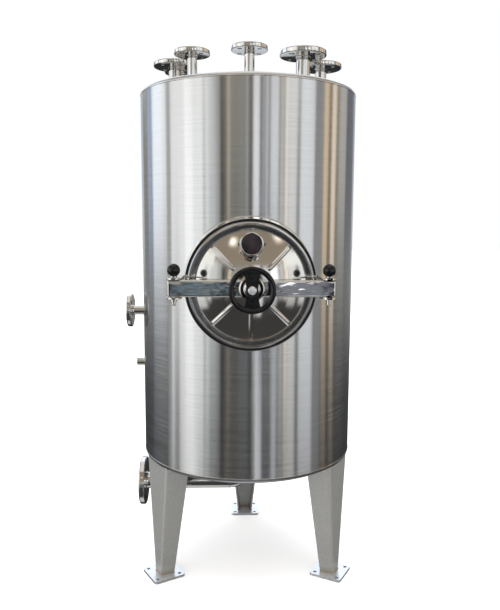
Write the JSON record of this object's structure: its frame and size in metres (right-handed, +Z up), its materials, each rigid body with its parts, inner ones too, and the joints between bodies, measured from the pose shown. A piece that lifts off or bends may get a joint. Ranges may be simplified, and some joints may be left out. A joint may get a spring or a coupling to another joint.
{
  "type": "stainless steel storage tank",
  "caption": "Upright stainless steel tank on three splayed channel legs, with flanged nozzles, a bottom drain and a round side manway held shut by a yoke bar and a handwheel screw.",
  "frame": {"origin": "on the floor under the middle of the whole tank, fittings included", "axes": "+Z up, the manway faces -Y, the side nozzle and the drain face -X"},
  "size_m": [0.764, 0.944, 1.716],
  "materials": {
    "brushed_steel": "brushed round the tank",
    "polished_steel": "mirror polished",
    "matte_steel": "matte mill finish",
    "satin_steel": "satin",
    "black_plastic": "glossy moulded",
    "gasket_rubber": "matte",
    "sight_glass": "polished, dark inside"
  },
  "bodies": {
    "tank": {"shell": "brushed_steel", "top_head": "brushed_steel", "bottom_head": "brushed_steel", "manway_collar": "polished_steel", "hinge_bracket": "polished_steel", "hinge_pin": "polished_steel", "hinge_pin_knob": "black_plastic", "latch_bracket": "polished_steel", "left_outer_nozzle_pipe": "polished_steel", "left_outer_nozzle_flange": "polished_steel", "left_inner_nozzle_pipe": "polished_steel", "left_inner_nozzle_flange": "polished_steel", "centre_nozzle_pipe": "polished_steel", "centre_nozzle_flange": "polished_steel", "right_inner_nozzle_pipe": "polished_steel", "right_inner_nozzle_flange": "polished_steel", "right_outer_nozzle_pipe": "polished_steel", "right_outer_nozzle_flange": "polished_steel", "rear_nozzle_pipe": "polished_steel", "rear_nozzle_flange": "polished_steel", "side_nozzle_pipe": "polished_steel", "side_nozzle_flange": "polished_steel", "sensor_socket": "polished_steel", "drain_pipe": "polished_steel", "drain_flange": "polished_steel", "front_left_leg": "matte_steel", "front_right_leg": "matte_steel", "rear_leg": "matte_steel", "front_left_base_plate": "satin_steel", "front_right_base_plate": "satin_steel", "rear_base_plate": "satin_steel"},
    "yoke": {"yoke_bar": "polished_steel", "screw_nut": "polished_steel"},
    "cover": {"manway_cover": "polished_steel", "manway_gasket": "gasket_rubber", "cover_boss": "polished_steel", "sight_glass_neck": "polished_steel", "sight_glass": "sight_glass", "sight_glass_ring": "polished_steel"},
    "wheel": {"screw_spindle": "polished_steel", "handwheel": "black_plastic", "handwheel_cap": "polished_steel"},
    "latch": {"latch_pin": "polished_steel", "latch_pin_knob": "black_plastic"}
  },
  "joints": [
    {"name": "yoke_swing", "type": "hinge", "parent": "tank", "child": "yoke", "pos_m": [-0.18, -0.402, 0.996], "axis": [0, 0, -1], "range_deg": [0, 110]},
    {"name": "cover_slide", "type": "slide", "parent": "yoke", "child": "cover", "axis": [0, -1, 0], "range_m": [0, 0.012]},
    {"name": "wheel_turn", "type": "hinge", "parent": "cover", "child": "wheel", "pos_m": [0.028, -0.4615, 0.996], "axis": [0, -1, 0], "range_deg": [0, 1080]},
    {"name": "latch_lift", "type": "slide", "parent": "yoke", "child": "latch", "axis": [0, 0, 1], "range_m": [0, 0.085]}
  ],
  "couplings": [
    {"joint": "cover_slide", "follows": "wheel_turn", "m_per_rad": 0.0006366}
  ]
}
